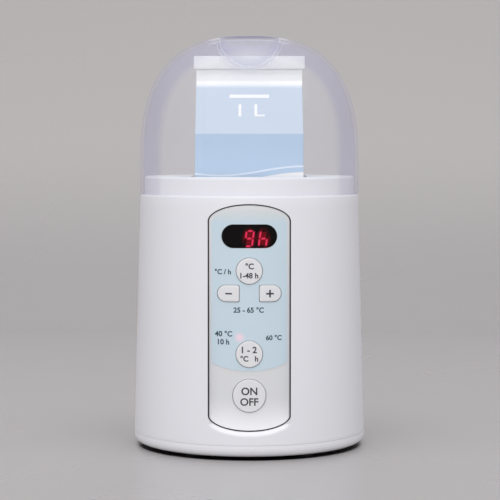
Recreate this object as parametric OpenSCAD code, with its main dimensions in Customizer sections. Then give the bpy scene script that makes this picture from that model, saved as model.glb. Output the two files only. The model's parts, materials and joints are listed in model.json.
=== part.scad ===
/* [Body] */
// Half width of the body at its widest, just above the foot
foot_r = 76.4; // [75.5:0.1:77.5]
// Half width of the body at the shoulder
top_r = 72.1; // [71.8:0.1:72.6]
// Depth over width of the oval plan
depth_ratio = 1.1; // [1.09:0.005:1.11]
// Thickness of the moulded walls
wall = 2.5; // [2.3:0.1:2.7]
// Height of the widest point
wide_z = 8; // [7.5:0.1:8.5]
// Height of the seam between the casing and the base cover
seam_z = 9.5; // [9.2:0.1:9.8]
// Height of the shoulder on which the clear cover stands
shoulder_z = 166; // [165.5:0.5:168]
// Height of the deck round the well
deck_z = 177.6; // [176:0.1:179]
// Half width of the neck inside the clear cover
neck_r = 69.4; // [69:0.1:69.5]
// Radius of the rounded edge under the body
foot_edge_r = 5.5; // [4.5:0.1:5.8]
// Height of the rubber feet below the body
foot_gap = 2; // [1.5:0.1:2.3]

/* [Clear cover] */
// Height of the crown
crown_z = 269.7; // [268:0.1:272]
// Height where the upright wall starts to curve in
spring_z = 185; // [182:1:188]
// Exponent of the dome's outline, where 2 is an ellipse
dome_power = 2.65; // [2.4:0.05:2.9]
// Wall thickness of the cover
cover_t = 2.2; // [1.8:0.1:2.3]
// Half width of each finger scoop
scoop_r = 20.2; // [19:0.1:21]
// Reach of each finger scoop towards the front or the back
scoop_reach = 30; // [26:0.5:32]
// Thickness of the bar that is left between the scoops
pinch_t = 14.4; // [14:0.1:16]

/* [Carton and clip] */
// Width and depth of the carton
carton_w = 70; // [69:0.5:71]
// Height of the carton's shoulder, where the gable starts
carton_shoulder_z = 205.3; // [203:0.1:207]
// Thickness of the folded top fin
fin_t = 2; // [1.6:0.1:2.2]
// Height of the top of the fin
fin_z = 255.4; // [252:0.1:255.4]
// Length of the clip
clip_w = 73.2; // [72:0.1:74]
// Thickness of the clip, front to back
clip_t = 8; // [7:0.1:8.2]
// Height of the clip
clip_h = 8.5; // [8:0.1:9]

/* [Well and heater] */
// Inside width of the square well
well_w = 76; // [75:0.5:77]
// Corner radius inside the well
well_r = 8; // [6:0.5:9]
// Thickness of the well liner
liner_t = 1.5; // [1.2:0.1:1.6]
// Height of the well's floor
well_z = 14.3; // [14:0.1:14.8]
// Thickness of the heater band
heater_t = 1; // [0.8:0.1:1.2]
// Height of the heater band
heater_h = 90; // [70:1:100]
// Thickness of the felt round the heater
felt_t = 3; // [2:0.1:3]

/* [Control panel] */
// Width of the panel's opening
panel_w = 52.4; // [52:0.1:53]
// Height where the lower arch of the opening starts
panel_low = 27.6; // [26.5:0.1:28.5]
// Height where the upper arch of the opening starts
panel_high = 150.2; // [149.5:0.1:150.5]
// Rise of the upper arch
panel_rise = 11; // [10:0.1:11.2]
// Drop of the lower arch
panel_drop = 9.8; // [9:0.1:10.5]
// Distance of the panel's face from the axis, at the middle
panel_face = 79; // [78.8:0.1:79.1]
// Thickness of the panel
panel_t = 2.5; // [2.3:0.1:2.6]
// Gap between the panel and the casing
panel_gap = 0.8; // [0.6:0.1:1]
// Slope of the dished edge under the panel
dish_slope = 0.9; // [0.7:0.05:1]
// Half width of the coloured film
film_half_w = 23.7; // [23:0.1:24]
// Height of the film's lowest point
film_low = 56.2; // [55:0.1:57]
// Radius of the film's lower edge
film_edge_r = 58.7; // [50:0.1:70]

/* [Display] */
// Width of the display window
window_w = 34.7; // [34:0.1:35]
// Height of the display window
window_h = 14.7; // [14.2:0.1:15]
// Height of the window's middle
window_z = 141; // [140.5:0.1:141.2]
// Height of the digits' middle
digit_z = 139.4; // [139:0.1:140]
// Distance from one digit to the next
digit_pitch = 8.8; // [8:0.1:9]
// Width of a digit between the middles of its upright segments
digit_w = 4.6; // [4:0.1:5]
// Height of a digit between the middles of its level segments
digit_h = 9.6; // [9:0.1:10]

/* [Buttons] */
// Diameter of the temperature and time button
mode_d = 16.4; // [15.5:0.1:17]
// Diameter of the menu button
menu_d = 16.7; // [16:0.1:17]
// Diameter of the start and stop button
start_d = 20.8; // [20:0.1:21]
// Width of the minus and plus buttons
step_w = 13.6; // [13:0.1:14]
// Height of the minus and plus buttons
step_h = 10.3; // [10:0.1:10.8]
// Distance of the minus and plus buttons from the middle
step_x = 13.2; // [13:0.1:13.6]
// How far a button travels
button_travel = 0.6; // [0.4:0.1:0.6]
// Clearance round a button
button_gap = 0.3; // [0.25:0.05:0.4]

/* [Hidden] */
$fn = 48;
turn_fn = 144; // facets round the oval shells
over = 1; // how far a cutter runs past what it cuts

white = [0.90, 0.90, 0.92];
film_blue = [0.73, 0.83, 0.89];
cover_violet = [0.80, 0.79, 0.90, 0.35];
carton_blue = [0.74, 0.83, 0.92];
board_green = [0.16, 0.42, 0.25];
part_black = [0.08, 0.08, 0.09];
metal = [0.72, 0.72, 0.74];

// Where the buttons stand, as x and height
mode_at = [0, 119.2];
minus_at = [-step_x, 105.1];
plus_at = [step_x, 105.1];
menu_at = [0, 66.9];
start_at = [0, 40.7];
button_places = [mode_at, minus_at, plus_at, menu_at, start_at];

// Shells
edge_r = 1.2; // rounded edge of the shoulder
deck_edge_r = 1.6; // rounded edge of the neck
deck_t = 2.6;
deck_hole_r = 36; // inner end of the turned deck, inside the square opening
lip_h = 3.5; // lip of the base cover inside the casing
lip_t = 1.5;
lip_gap = 0.2;
floor_t = 2.4; // floor of the base cover
floor_z = foot_gap + floor_t;

// Screws from below, which join the base cover to the casing
screw_at = [46.5, 46.5];
screw_post_d = 8;
screw_d = 3;
screw_clear = 3.6;
screw_head_d = 6.4;
screw_head_h = 2;
post_z = 11; // where the casing's posts meet the base cover's
post_top_z = 40;
rib_z = seam_z + lip_h + 0.8; // underside of the casing's ribs, above the base cover's lip
screw_seat_z = 5; // underside of the base cover's screw seats
foot_at = [34, 56];
foot_d = 14;
foot_seat = 1; // how deep a foot sits in the base cover

// Well
liner_w = well_w + 2 * liner_t;
flange_w = 88.4;
flange_r = 13.5;
liner_gap = 0.35; // between the liner and the deck's opening
heater_z = 20;
heater_w = liner_w + 2 * heater_t;
felt_w = heater_w + 2 * felt_t;
sensor_at = [-12, 0];

// Panel, from the face inwards
panel_back = panel_face - panel_t;
pocket_floor = panel_back - 0.1;
ledge_t = 2;
ledge_w = 3.2;
pocket_wall = 2.5;
film_t = 0.25;
film_face = panel_face + film_t;
film_rise = 7.2;
button_face = film_face + 0.65;
flange_far = panel_back - 0.3;
flange_near = flange_far - 1.2;
button_flange = 1.2; // how far a button's flange reaches past its cap

// Control board, behind the panel
board_face = 66;
board_t = 1.6;
board_half_w = 21;
board_low = 24;
board_high = 156;
boss_places = [for (x = [-18, 18], z = [29, 88, 149.5]) [x, z]];
boss_d = 5.6;
boss_bore = 2.2;
switch_w = 6;
switch_h = 4.3;
plunger_d = 3.4;
plunger_h = 0.7;
switch_top = board_face + switch_h + plunger_h;
stem_d = 5;
led_x = 6;
led_z = 77.5;
led_d = 3;
module_size = [31, 8.4, 14.2];
module_face = board_face + module_size[1];
segment_w = 1.15;
segment_gap = 0.35;
segment_t = 0.3;
digit_slant = 0.14; // tangent of the digits' lean

// Power board, behind the well
power_y = 50;
power_half_w = 32;
power_low = 12;
power_high = 100;

// Cord entry
cord_z = 23.5;
cord_bore = 6.6;
gland_neck_d = 10;
gland_flange_d = 14;
gland_flange_t = 2.3;
entry_y = 80.9; // seat of the gland's flange in the casing
saddle_y = 61;
saddle_size = [26, 8];

carton_base_z = well_z;
gable_z = carton_shoulder_z + carton_w / 2;
board_pair_t = 1; // two layers of the carton's board, at the folded ends
clip_z = fin_z + 1.3 - clip_h;

// ---------- shapes that repeat ----------

function side_r(z) = foot_r - (z - wide_z) * (foot_r - top_r) / (shoulder_z - wide_z);
function arc(middle, r, from, to, steps = 4) =
    [for (i = [0:steps]) let (a = from + (to - from) * i / steps) middle + r * [cos(a), sin(a)]];
// Y of a front surface that lies at the given distance in the middle
function front_y(distance, x) = -distance * sqrt(1 - pow(x * depth_ratio / distance, 2));
// Outline of a dome of half width a that springs at spring_z and ends at top
function dome_outline(a, top, steps = 14) =
    [for (i = [0:steps]) let (t = 90 * i / steps)
        [a * pow(cos(t), 2 / dome_power), spring_z + (top - spring_z) * pow(sin(t), 2 / dome_power)]];

// A profile turned about Z, in four quarters, and made oval
module oval_turn(profile)
    for (quarter = [0:90:270])
        scale([1, depth_ratio, 1])
            rotate([0, 0, quarter])
                rotate_extrude(angle = 90, $fn = turn_fn) polygon(profile);

// An upright oval post that reaches the given distance to the front
module oval_post(distance, low, high)
    translate([0, 0, low])
        scale([1 / depth_ratio, 1, 1])
            cylinder(r = distance, h = high - low, $fn = turn_fn);

// What of its children lies between two distances from the axis, on the panel's curve
module on_panel(near, far) difference() {
    intersection() {
        children();
        oval_post(far, 0, shoulder_z);
    }
    oval_post(near, -over, shoulder_z + over);
}

// The panel's outline as a block along Y, its sides moved out by grow
module arch_block(grow, near, far) {
    half_w = panel_w / 2 + grow;
    translate([-half_w, -far, panel_low])
        cube([2 * half_w, far - near, panel_high - panel_low]);
    for (end = [[panel_high, panel_rise], [panel_low, panel_drop]])
        translate([0, -near, end[0]])
            scale([half_w, 1, end[1] + grow])
                rotate([90, 0, 0]) cylinder(r = 1, h = far - near, $fn = 96);
}

// A rod along Y at the front, round a place given as x and height
module front_rod(at, d, near, far)
    translate([at[0], -near, at[1]]) rotate([90, 0, 0]) cylinder(d = d, h = far - near);

// A block along Y with its two ends round
module pill_block(at, w, h, near, far) {
    for (side = [-1, 1])
        front_rod(at + [side * (w - h) / 2, 0], h, near, far);
    translate([at[0] - (w - h) / 2, -far, at[1] - h / 2]) cube([w - h, far - near, h]);
}

// A block along Y with one end round, the end that faces away from the middle
module step_block(at, grow, near, far) {
    h = step_h + 2 * grow;
    w = step_w + 2 * grow;
    out = at[0] < 0 ? -1 : 1;
    round_x = at[0] + out * (w - h) / 2;
    flat_x = at[0] - out * w / 2;
    front_rod([round_x, at[1]], h, near, far);
    translate([min(round_x, flat_x), -far, at[1] - h / 2])
        cube([abs(round_x - flat_x), far - near, h]);
}

// An upright square block with round corners
module square_block(w, r, low, high) translate([0, 0, low]) {
    for (turn = [0, 90])
        rotate([0, 0, turn]) translate([-w / 2, -w / 2 + r, 0]) cube([w, w - 2 * r, high - low]);
    for (x = [-1, 1], y = [-1, 1])
        translate([x * (w / 2 - r), y * (w / 2 - r), 0]) cylinder(r = r, h = high - low);
}

module square_ring(outer_w, outer_r, inner_w, inner_r, low, high) difference() {
    square_block(outer_w, outer_r, low, high);
    square_block(inner_w, inner_r, low - over, high + over);
}

module four_corners(at)
    for (x = [-1, 1], y = [-1, 1]) translate([x * at[0], y * at[1], 0]) children();

module upright(d, low, high) translate([0, 0, low]) cylinder(d = d, h = high - low);

// ---------- shells ----------

casing_profile = concat(
    [[side_r(seam_z), seam_z]],
    arc([top_r - edge_r, shoulder_z - edge_r], edge_r, 0, 90),
    [[neck_r, shoulder_z]],
    arc([neck_r - deck_edge_r, deck_z - deck_edge_r], deck_edge_r, 0, 90),
    [[deck_hole_r, deck_z], [deck_hole_r, deck_z - deck_t],
     [neck_r - wall, deck_z - deck_t], [neck_r - wall, shoulder_z - wall],
     [top_r - wall, shoulder_z - wall], [side_r(seam_z) - wall, seam_z]]
);

module casing_screw_posts() four_corners(screw_at) upright(screw_post_d, post_z, post_top_z);

// Ribs that carry the screw posts on the casing's wall
module casing_ribs()
    for (x = [-1, 1], y = [-1, 1])
        scale([x, y, 1])
            translate([screw_at[0], screw_at[1], rib_z])
                rotate([0, 0, 45]) translate([0, -1.2, 0]) cube([11.6, 2.4, post_top_z - rib_z]);

module panel_pocket_block() difference() {
    intersection() {
        arch_block(pocket_wall, board_face, foot_r * depth_ratio + over);
        oval_turn([[50, seam_z], [side_r(seam_z) - over, seam_z], [top_r - over, shoulder_z - over],
                   [50, shoulder_z - over]]);
    }
    oval_post(pocket_floor - ledge_t, 0, shoulder_z + over);
}

module panel_pocket_cut() {
    difference() {
        arch_block(0, board_face, foot_r * depth_ratio + 2 * over);
        oval_post(pocket_floor, 0, shoulder_z + over);
    }
    arch_block(-ledge_w, board_face - over, foot_r * depth_ratio);
    // the dished edge, which slopes out and down from the panel's foot
    multmatrix([[1, 0, 0, 0], [0, 1, 0, 0], [0, dish_slope, 1, dish_slope * panel_face], [0, 0, 0, 1]])
        arch_block(0, panel_face, foot_r * depth_ratio + 3 * over);
}

module outer_casing() color(white) difference() {
    union() {
        oval_turn(casing_profile);
        casing_screw_posts();
        casing_ribs();
        panel_pocket_block();
        // boss round the cord entry
        translate([0, entry_y - 4, cord_z]) rotate([-90, 0, 0]) cylinder(d = 19, h = 5);
    }
    square_block(liner_w + 2 * liner_gap, well_r + liner_t + liner_gap, deck_z - deck_t - over, deck_z + over);
    square_block(flange_w + 2 * liner_gap, flange_r + liner_gap, deck_z - liner_t, deck_z + over);
    four_corners(screw_at) upright(screw_d, post_z - over, post_top_z - 8);
    panel_pocket_cut();
    translate([0, entry_y - 6, cord_z]) rotate([-90, 0, 0]) {
        cylinder(d = gland_neck_d + 0.4, h = 10);
        translate([0, 0, 6]) cylinder(d = gland_flange_d + 0.4, h = 10);
    }
}

base_profile = concat(
    [[0, foot_gap]],
    arc([foot_r - foot_edge_r, foot_gap + foot_edge_r], foot_edge_r, -90, 0, 6),
    [[foot_r, wide_z], [side_r(seam_z), seam_z],
     [side_r(seam_z) - wall - lip_gap, seam_z],
     [side_r(seam_z + lip_h) - wall - lip_gap, seam_z + lip_h],
     [side_r(seam_z + lip_h) - wall - lip_gap - lip_t, seam_z + lip_h],
     [foot_r - wall - lip_gap - lip_t - 0.4, floor_z + 3.5],
     [foot_r - foot_edge_r - 2, floor_z], [0, floor_z]]
);

module base_cover() color(white) difference() {
    union() {
        oval_turn(base_profile);
        four_corners(screw_at) upright(screw_post_d, floor_z - over, post_z);
        // slotted posts that hold the power board
        for (x = [-1, 1])
            translate([x * power_half_w - 3, power_y - 2.6, floor_z - over]) cube([6, 6.8, 40]);
        // saddle under the cord clamp
        translate([-saddle_size[0] / 2, saddle_y, floor_z - over])
            cube([saddle_size[0], saddle_size[1], cord_z - floor_z + over]);
    }
    // gap for the panel's pocket
    translate([-panel_w / 2 - 4, -foot_r * depth_ratio, seam_z]) cube([panel_w + 8, 20, lip_h + over]);
    four_corners(screw_at) {
        upright(screw_head_d + 0.6, foot_gap - over, screw_seat_z);
        upright(screw_clear, foot_gap, post_z + over);
    }
    four_corners(foot_at) upright(foot_d + 0.2, foot_gap - over, foot_gap + foot_seat);
    translate([-power_half_w - 0.1, power_y - 0.1, power_low - 0.1])
        cube([2 * power_half_w + 0.2, board_t + 0.2, power_high]);
    translate([0, saddle_y - over, cord_z])
        rotate([-90, 0, 0]) cylinder(d = cord_bore, h = saddle_size[1] + 2 * over);
    for (x = [-1, 1])
        translate([x * 9, saddle_y + saddle_size[1] / 2, 0]) upright(2.6, floor_z + 2, cord_z + over);
    // air slots
    for (x = [-18:6:18], y = [-28, 12]) translate([x - 1.2, y, foot_gap - over]) cube([2.4, 16, floor_t + 2 * over]);
}

module rubber_feet() color(part_black) four_corners(foot_at) {
    cylinder(d1 = foot_d - 1.6, d2 = foot_d, h = foot_gap);
    upright(foot_d, foot_gap, foot_gap + foot_seat);
}

module base_screws() color(metal) four_corners(screw_at) difference() {
    union() {
        upright(screw_head_d, screw_seat_z - screw_head_h, screw_seat_z);
        upright(screw_d - 0.1, screw_seat_z, post_z + 14);
    }
    for (turn = [0, 90]) translate([0, 0, screw_seat_z - screw_head_h]) rotate([0, 0, turn])
        cube([4, 0.9, 2.2], center = true);
}

// ---------- well and heating ----------

module well_liner() color(white) difference() {
    union() {
        square_block(liner_w, well_r + liner_t, well_z - liner_t, deck_z);
        square_block(flange_w, flange_r, deck_z - liner_t, deck_z);
    }
    square_block(well_w, well_r, well_z, deck_z + over);
}

module heater_band() color([0.75, 0.76, 0.78])
    square_ring(heater_w, well_r + liner_t + heater_t, liner_w, well_r + liner_t, heater_z, heater_z + heater_h);

module insulation_wrap() color([0.86, 0.84, 0.78]) difference() {
    square_ring(felt_w, well_r + liner_t + heater_t + felt_t, heater_w, well_r + liner_t + heater_t,
        heater_z - 2, heater_z + heater_h + 2);
    // window for the thermal fuse
    translate([-9, heater_w / 2 - over, 60]) cube([18, felt_t + 2 * over, 6]);
}

module thermal_fuse() color([0.85, 0.85, 0.82]) translate([-5.5, heater_w / 2 + 2.1, 63]) rotate([0, 90, 0]) {
    cylinder(d = 4, h = 11);
    translate([0, 0, -3]) cylinder(d = 1, h = 17);
}

module thermistor() color([0.3, 0.3, 0.32]) translate([sensor_at[0], sensor_at[1], 0]) {
    upright(6, well_z - liner_t - 3.5, well_z - liner_t);
    upright(3, well_z - liner_t - 5, well_z - liner_t - 3.5);
}

module sensor_clip() color(metal) translate([sensor_at[0], sensor_at[1], 0]) difference() {
    translate([-11, -4, well_z - liner_t - 2]) cube([22, 8, 2]);
    upright(6.2, well_z - liner_t - 2 - over, well_z);
}

// ---------- control panel ----------

module button_holes(grow) {
    front_rod(mode_at, mode_d + 2 * grow, board_face, film_face + over);
    front_rod(menu_at, menu_d + 2 * grow, board_face, film_face + over);
    front_rod(start_at, start_d + 2 * grow, board_face, film_face + over);
    for (at = [minus_at, plus_at]) step_block(at, grow, board_face, film_face + over);
}

module control_panel() color(white) {
    difference() {
        union() {
            on_panel(panel_back, panel_face) arch_block(-panel_gap, board_face - over, panel_face + over);
            for (at = boss_places) front_rod(at, boss_d, board_face, -front_y(panel_back + 1, at[0]));
        }
        button_holes(button_gap);
        pill_block([0, window_z], window_w + 0.3, window_h + 0.3, board_face, film_face);
        for (x = [-led_x, led_x]) front_rod([x, led_z], led_d + 1, board_face, film_face);
        for (at = boss_places) front_rod(at, boss_bore, board_face - over, board_face + 6);
    }
    // snap hooks that reach through the opening and catch behind its ledge
    for (side = [-1, 1], z = [52, 128])
        scale([side, 1, 1]) translate([0, 0, z - 4]) linear_extrude(8)
            polygon([[20.6, front_y(panel_back + 1, 20.6)], [22.4, front_y(panel_back + 1, 22.4)],
                     [22.4, -69.4], [24.2, -68.6], [22.4, -66.8], [20.6, -66.8]]);
}

module panel_film() color(film_blue) difference() {
    on_panel(panel_face, film_face) intersection() {
        union() {
            translate([-film_half_w, -film_face - over, film_low])
                cube([2 * film_half_w, 20, panel_high - film_low]);
            translate([0, -panel_face + 20, panel_high]) scale([film_half_w, 1, film_rise])
                rotate([90, 0, 0]) cylinder(r = 1, h = 22, $fn = 96);
        }
        front_rod([0, film_low + film_edge_r], 2 * film_edge_r, board_face, film_face + over, $fn = 144);
    }
    button_holes(button_gap);
    pill_block([0, window_z], window_w + 0.3, window_h + 0.3, board_face, film_face + over);
}

module display_window() color(part_black)
    on_panel(panel_face - 1.8, film_face) pill_block([0, window_z], window_w, window_h, board_face, film_face + over);

// ---------- buttons ----------

// A round button: its cap, a wider flange behind the panel and a stem
module round_button(at, d) color(white) {
    on_panel(flange_near, button_face) front_rod(at, d, board_face, button_face + over);
    on_panel(flange_near, flange_far) front_rod(at, d + 2 * button_flange, board_face, button_face);
    button_stem(at);
}

module step_button(at) color(white) {
    on_panel(flange_near, button_face) step_block(at, 0, board_face, button_face + over);
    on_panel(flange_near, flange_far) step_block(at, button_flange, board_face, button_face);
    button_stem(at);
}

module button_stem(at)
    front_rod(at, stem_d, switch_top + button_travel + 0.1, -front_y(flange_near, abs(at[0]) + stem_d / 2) + 0.6);

module mode_button() round_button(mode_at, mode_d);
module minus_button() step_button(minus_at);
module plus_button() step_button(plus_at);
module menu_button() round_button(menu_at, menu_d);
module start_button() round_button(start_at, start_d);

// ---------- control electronics ----------

module control_board() color(board_green) difference() {
    translate([-board_half_w, -board_face, board_low])
        cube([2 * board_half_w, board_t, board_high - board_low]);
    for (at = boss_places) front_rod(at, boss_bore + 0.3, board_face - board_t - over, board_face + over);
}

module tact_switches() color(part_black) for (at = button_places) {
    translate([at[0] - switch_w / 2, -board_face - switch_h, at[1] - switch_w / 2])
        cube([switch_w, switch_h, switch_w]);
    front_rod(at, plunger_d, board_face + switch_h, switch_top);
}

module indicator_leds() color([0.95, 0.75, 0.80]) for (x = [-led_x, led_x]) {
    front_rod([x, led_z], led_d + 0.8, board_face, board_face + 1);
    front_rod([x, led_z], led_d, board_face + 1, 74.2);
    translate([x, -74.2, led_z]) sphere(d = led_d);
}

module buzzer() color(part_black) difference() {
    front_rod([15.5, 54], 9.5, board_face, board_face + 4.5);
    front_rod([15.5, 54], 1.8, board_face + 3, board_face + 5.5);
}

module control_chip() color(part_black) {
    translate([-4, -board_face + board_t, 95]) cube([8, 2, 18]);
    for (i = [0:13], side = [-1, 1])
        translate([side * 4.6 - 0.8, -board_face + board_t, 95.5 + i * 1.27]) cube([1.6, 0.6, 0.5]);
}

module board_screws() color(metal) for (at = boss_places) {
    front_rod(at, boss_bore - 0.1, board_face - board_t, board_face + 5);
    front_rod(at, 4.2, board_face - board_t - 1.4, board_face - board_t);
}

module digit_module() color([0.15, 0.15, 0.16])
    translate([-module_size[0] / 2, -module_face, digit_z - module_size[2] / 2]) cube(module_size);

// Segments a to g, each as its middle, in half widths and half heights, and whether it is level
segments = [
    [[0, 1], true], [[1, 0.5], false], [[1, -0.5], false], [[0, -1], true],
    [[-1, -0.5], false], [[-1, 0.5], false], [[0, 0], true]
];
// Which segments shine, digit by digit: a blank, a nine and the h for hours
shining = [[], [0, 1, 2, 3, 5, 6], [2, 4, 5, 6]];

module segment(place, level) {
    long = level ? digit_w - segment_w - segment_gap : digit_h / 2 - segment_gap;
    tip = segment_w / 2;
    translate([place[0] * digit_w / 2, place[1] * digit_h / 2])
        rotate(level ? 0 : 90)
            polygon([[-long / 2, 0], [-long / 2 + tip, tip], [long / 2 - tip, tip],
                     [long / 2, 0], [long / 2 - tip, -tip], [-long / 2 + tip, -tip]]);
}

module digit_segments(lit)
    for (digit = [0:2], s = [0:6])
        if ((len(search(s, shining[digit])) > 0) == lit)
            translate([(digit - 1) * digit_pitch, -module_face, digit_z])
                rotate([90, 0, 0])
                    linear_extrude(segment_t)
                        multmatrix([[1, digit_slant, 0, 0], [0, 1, 0, 0], [0, 0, 1, 0], [0, 0, 0, 1]])
                            segment(segments[s][0], segments[s][1]);

module lit_segments() color([0.95, 0.10, 0.20]) digit_segments(true);
module dark_segments() color([0.25, 0.22, 0.22]) digit_segments(false);

// ---------- power electronics ----------

module power_board() color(board_green)
    translate([-power_half_w, power_y, power_low]) cube([2 * power_half_w, board_t, power_high - power_low]);

// A block that stands on the back of the power board
module on_power_board(x, z, size) translate([x, power_y + board_t, z]) cube(size);

module transformer() color([0.35, 0.33, 0.30]) {
    on_power_board(-15, 58, [30, 4, 26]);
    on_power_board(-10, 54, [20, 20, 34]);
    on_power_board(-15, 58, [30, 16, 6]);
    on_power_board(-15, 78, [30, 16, 6]);
}

module relay() color([0.12, 0.25, 0.45]) on_power_board(-28, 30, [15.5, 15, 19]);

module filter_capacitor() color([0.80, 0.68, 0.25]) on_power_board(11, 34, [17, 11, 8]);

module smoothing_capacitor() color(part_black)
    translate([23, power_y + board_t, 72]) rotate([-90, 0, 0]) {
        cylinder(d = 10, h = 14);
        translate([0, 0, 14]) cylinder(d = 8.8, h = 0.6);
    }

module varistor() color([0.20, 0.35, 0.60])
    translate([-24, power_y + board_t + 5.5, 72]) rotate([0, 90, 0]) {
        cylinder(d = 9, h = 4, center = true);
        for (z = [-2.5, 2.5]) translate([z, -3.2, 0]) cube([0.8, 4.6, 0.8], center = true);
    }

module mains_fuse() color([0.80, 0.82, 0.80]) translate([-10, power_y + board_t + 3.4, 22]) rotate([0, 90, 0]) {
    cylinder(d = 4.8, h = 20);
    for (z = [0, 15]) translate([0, 0, z]) cylinder(d = 5.4, h = 5);
    for (z = [2.5, 17.5]) translate([-1, -3.4, z - 1]) cube([2, 3.4, 2]);
}

ribbon_t = 1;
ribbon_x = [-2, 12];
ribbon_front_y = -board_face + board_t + 3;
ribbon_back_y = power_y - 3;
ribbon_z = 7;

// The flat cable from the control board, under the well, to the power board
module ribbon_cable() color([0.55, 0.55, 0.58])
    translate([ribbon_x[0], 0, 0]) rotate([90, 0, 90]) linear_extrude(ribbon_x[1] - ribbon_x[0])
        polygon(concat(
            [[ribbon_front_y, 30]],
            arc([ribbon_front_y + 4, ribbon_z + 4], 4, 180, 270, 5),
            arc([ribbon_back_y - 4, ribbon_z + 4], 4, 270, 360, 5),
            [[ribbon_back_y, 16], [ribbon_back_y - ribbon_t, 16]],
            arc([ribbon_back_y - 4, ribbon_z + 4], 4 - ribbon_t, 360, 270, 5),
            arc([ribbon_front_y + 4, ribbon_z + 4], 4 - ribbon_t, 270, 180, 5),
            [[ribbon_front_y + ribbon_t, 30]]
        ));

module ribbon_sockets() color([0.92, 0.90, 0.85]) {
    translate([ribbon_x[0] - 1, -board_face + board_t, 30]) cube([16, 5.5, 6]);
    translate([ribbon_x[0] - 1, power_y - 5.5, 16]) cube([16, 5.5, 6]);
}

// ---------- cord entry ----------

module cord_gland() color([0.85, 0.85, 0.86])
    translate([0, entry_y, cord_z]) rotate([-90, 0, 0]) rotate_extrude($fn = 64) polygon([
        [cord_bore / 2, -7], [gland_neck_d / 2 + 0.9, -7], [gland_neck_d / 2 + 0.9, -4.2], [gland_neck_d / 2, -4.2],
        [gland_neck_d / 2, 0], [gland_flange_d / 2, 0], [gland_flange_d / 2, gland_flange_t - 0.6],
        [gland_flange_d / 2 - 0.6, gland_flange_t], [cord_bore / 2, gland_flange_t]
    ]);

module cord_clamp() color([0.85, 0.85, 0.86]) difference() {
    translate([-saddle_size[0] / 2, saddle_y, cord_z]) cube([saddle_size[0], saddle_size[1], 6]);
    translate([0, saddle_y - over, cord_z]) rotate([-90, 0, 0])
        cylinder(d = cord_bore, h = saddle_size[1] + 2 * over);
    for (x = [-1, 1]) translate([x * 9, saddle_y + saddle_size[1] / 2, 0]) upright(3.2, cord_z - over, cord_z + 7);
}

module clamp_screws() color(metal)
    for (x = [-1, 1]) translate([x * 9, saddle_y + saddle_size[1] / 2, 0]) {
        upright(2.5, cord_z - 10, cord_z + 6);
        upright(5, cord_z + 6, cord_z + 7.8);
    }

// ---------- cover, carton and clip ----------

// One finger scoop, on the side that side names, its wall moved out by grow
module scoop(side, grow) intersection() {
    translate([0, side * pinch_t / 2, crown_z])
        scale([scoop_r + grow, scoop_reach + grow, scoop_r + grow]) sphere(r = 1, $fn = 96);
    scale([1, side, 1])
        translate([-50, pinch_t / 2 - grow, crown_z - 40]) cube([100, 60, 60]);
}

module clear_cover() color(cover_violet) difference() {
    oval_turn(concat([[top_r - cover_t - 6, shoulder_z], [top_r, shoulder_z]], dome_outline(top_r, crown_z),
        [[0, spring_z]]));
    difference() {
        oval_turn(concat([[0, shoulder_z - over], [top_r - cover_t, shoulder_z - over]],
            dome_outline(top_r - cover_t, crown_z - cover_t)));
        for (side = [-1, 1]) scoop(side, cover_t);
    }
    for (side = [-1, 1]) scoop(side, 0);
}

// The hollow under the roof at one end, where the end panel folds in to the middle of the ridge
module folded_end() {
    half = carton_w / 2;
    drop = board_pair_t * sqrt(2);
    polyhedron(
        points = [
            [half + over, -half + drop - over, carton_shoulder_z - over],
            [half + over, half - drop + over, carton_shoulder_z - over],
            [half + over, 0, gable_z - drop],
            [drop, 0, gable_z - drop]
        ],
        faces = [[0, 2, 1], [0, 3, 2], [1, 2, 3], [0, 1, 3]]
    );
}

module milk_carton() color(carton_blue) {
    half = carton_w / 2;
    difference() {
        rotate([90, 0, 90]) translate([0, 0, -half]) linear_extrude(carton_w) polygon([
            [-half, carton_base_z], [half, carton_base_z], [half, carton_shoulder_z],
            [fin_t / 2, gable_z], [fin_t / 2, fin_z], [-fin_t / 2, fin_z],
            [-fin_t / 2, gable_z], [-half, carton_shoulder_z]
        ]);
        for (turn = [0, 180]) rotate([0, 0, turn]) folded_end();
    }
}

module carton_clip() color([0.95, 0.95, 0.96]) difference() {
    translate([-clip_w / 2, -clip_t / 2, clip_z]) cube([clip_w, clip_t, clip_h]);
    translate([-carton_w / 2 - 0.4, -fin_t / 2 - 0.25, clip_z - over])
        cube([carton_w + 0.8, fin_t + 0.5, fin_z + 0.2 - clip_z + over]);
}

outer_casing();
base_cover();
rubber_feet();
base_screws();
well_liner();
heater_band();
insulation_wrap();
thermal_fuse();
thermistor();
sensor_clip();
control_panel();
panel_film();
display_window();
digit_module();
lit_segments();
dark_segments();
control_board();
tact_switches();
indicator_leds();
buzzer();
control_chip();
board_screws();
mode_button();
minus_button();
plus_button();
menu_button();
start_button();
power_board();
transformer();
relay();
filter_capacitor();
smoothing_capacitor();
varistor();
mains_fuse();
ribbon_cable();
ribbon_sockets();
cord_gland();
cord_clamp();
clamp_screws();
clear_cover();
milk_carton();
carton_clip();
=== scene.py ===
# %% [markdown]
# # Dressing a yogurt maker
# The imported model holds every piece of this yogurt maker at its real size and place. This
# lesson gives those pieces their looks. Pieces whose shape is already right keep their mesh
# and get a finish. Pieces that need softer edges, finer curves or print are modelled anew
# over the same place, and each of them stands for the node that it covers.

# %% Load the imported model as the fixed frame
import json
import math

import bmesh
import bpy
from mathutils import Matrix, Vector


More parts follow.
